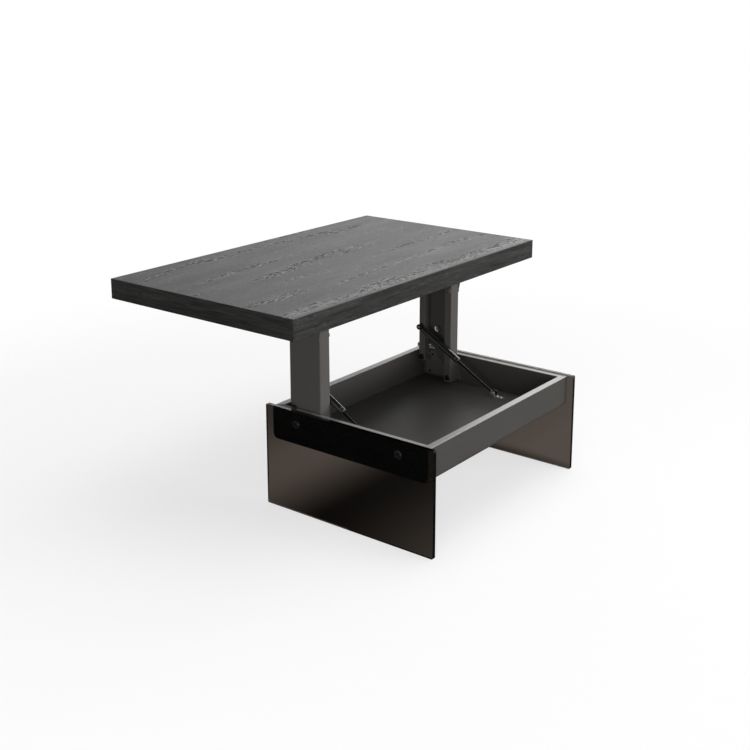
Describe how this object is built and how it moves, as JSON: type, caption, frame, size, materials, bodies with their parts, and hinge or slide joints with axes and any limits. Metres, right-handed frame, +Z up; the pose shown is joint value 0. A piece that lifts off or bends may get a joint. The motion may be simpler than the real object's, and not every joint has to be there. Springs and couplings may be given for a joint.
{
  "type": "lift-top table",
  "caption": "Low table with glass end panels and an open storage box; its thick stained oak top swings up and back on channel arms with gas springs.",
  "frame": {"origin": "on the ground, under the centre of the raised table's bounding box", "axes": "+X along the top's length, +Y to the back, where the raised top overhangs, +Z up"},
  "size_m": [1.2, 0.988, 0.663],
  "materials": {
    "top_oak": "black-stained open-pored oak veneer, matte",
    "batten_wood": "dark stained solid wood, matte",
    "box_lacquer": "anthracite lacquered panel, matte",
    "rim_satin": "satin anodised",
    "arm_paint": "anthracite powder coat, fine texture",
    "smoked_glass": "smoked bronze, polished edges",
    "black_hardware": "black oxide, satin",
    "bright_zinc": "bright zinc plate",
    "spring_black": "gloss black",
    "rod_steel": "ground and polished",
    "black_nylon": "moulded, matte",
    "black_rubber": "matte"
  },
  "bodies": {
    "base": {"glass_panel_left": "smoked_glass", "glass_panel_right": "smoked_glass", "glass_bolts": "black_hardware", "glass_washers": "black_nylon", "box_front_rail": "box_lacquer", "box_back_rail": "box_lacquer", "box_end_left": "box_lacquer", "box_end_right": "box_lacquer", "box_dowels": "batten_wood", "box_floor": "box_lacquer", "rim_trim_front": "rim_satin", "rim_trim_back": "rim_satin", "rim_trim_left": "rim_satin", "rim_trim_right": "rim_satin", "pivot_plate_left": "arm_paint", "pivot_plate_right": "arm_paint", "pivot_plate_screws": "black_hardware", "arm_pivot_pins": "black_hardware", "link_pivot_pins": "black_hardware", "link_spacers": "bright_zinc", "spring_bracket_left": "bright_zinc", "spring_bracket_right": "bright_zinc", "spring_bracket_screws": "bright_zinc", "spring_anchor_pins": "bright_zinc"},
    "arms": {"main_arm_left": "arm_paint", "main_arm_right": "arm_paint", "arm_bushes": "black_nylon"},
    "links": {"control_link_left": "arm_paint", "control_link_right": "arm_paint", "link_bushes": "black_nylon"},
    "spring_rods": {"gas_rod_left": "rod_steel", "gas_rod_right": "rod_steel", "rod_end_eyes": "black_hardware"},
    "spring_cylinders": {"gas_cylinder_left": "spring_black", "gas_cylinder_right": "spring_black", "rod_seals": "black_rubber", "ball_sockets": "black_hardware", "ball_studs": "black_hardware"},
    "top": {"top_board": "top_oak", "top_edge_front": "top_oak", "top_edge_back": "top_oak", "top_edge_left": "top_oak", "top_edge_right": "top_oak", "top_batten_left": "batten_wood", "top_batten_right": "batten_wood", "top_stiffener_front": "batten_wood", "top_stiffener_back": "batten_wood", "top_buffers": "black_rubber", "top_bracket_left": "arm_paint", "top_bracket_right": "arm_paint", "top_bracket_screws": "bright_zinc", "upper_arm_pins": "black_hardware", "upper_link_pins": "black_hardware", "upper_link_spacers": "bright_zinc", "upper_link_nuts": "bright_zinc"}
  },
  "joints": [
    {"name": "arm_lift", "type": "hinge", "parent": "base", "child": "arms", "pos_m": [0, -0.07, 0.233], "axis": [1, 0, 0], "range_deg": [0, 90], "stiffness_Nm_per_rad": 10, "springref_deg": -137.51},
    {"name": "top_level", "type": "hinge", "parent": "arms", "child": "top", "pos_m": [0, -0.07, 0.527], "axis": [1, 0, 0], "range_deg": [-90, 0]},
    {"name": "link_swing", "type": "hinge", "parent": "base", "child": "links", "pos_m": [0, 0.033, 0.286], "axis": [1, 0, 0], "range_deg": [0, 90]},
    {"name": "spring_swing", "type": "hinge", "parent": "base", "child": "spring_rods", "pos_m": [0, -0.257, 0.224], "axis": [1, 0, 0], "range_deg": [-11.47, 0]},
    {"name": "spring_stroke", "type": "slide", "parent": "spring_rods", "child": "spring_cylinders", "axis": [0, 0.8653, 0.5013], "range_m": [-0.141, 0]}
  ],
  "couplings": [
    {"joint": "top_level", "follows": "arm_lift", "ratio": -1},
    {"joint": "link_swing", "follows": "arm_lift", "ratio": 1},
    {"joint": "spring_swing", "follows": "arm_lift", "ratio": -0.12736},
    {"joint": "spring_stroke", "follows": "arm_lift", "m_per_rad": -0.089752}
  ]
}
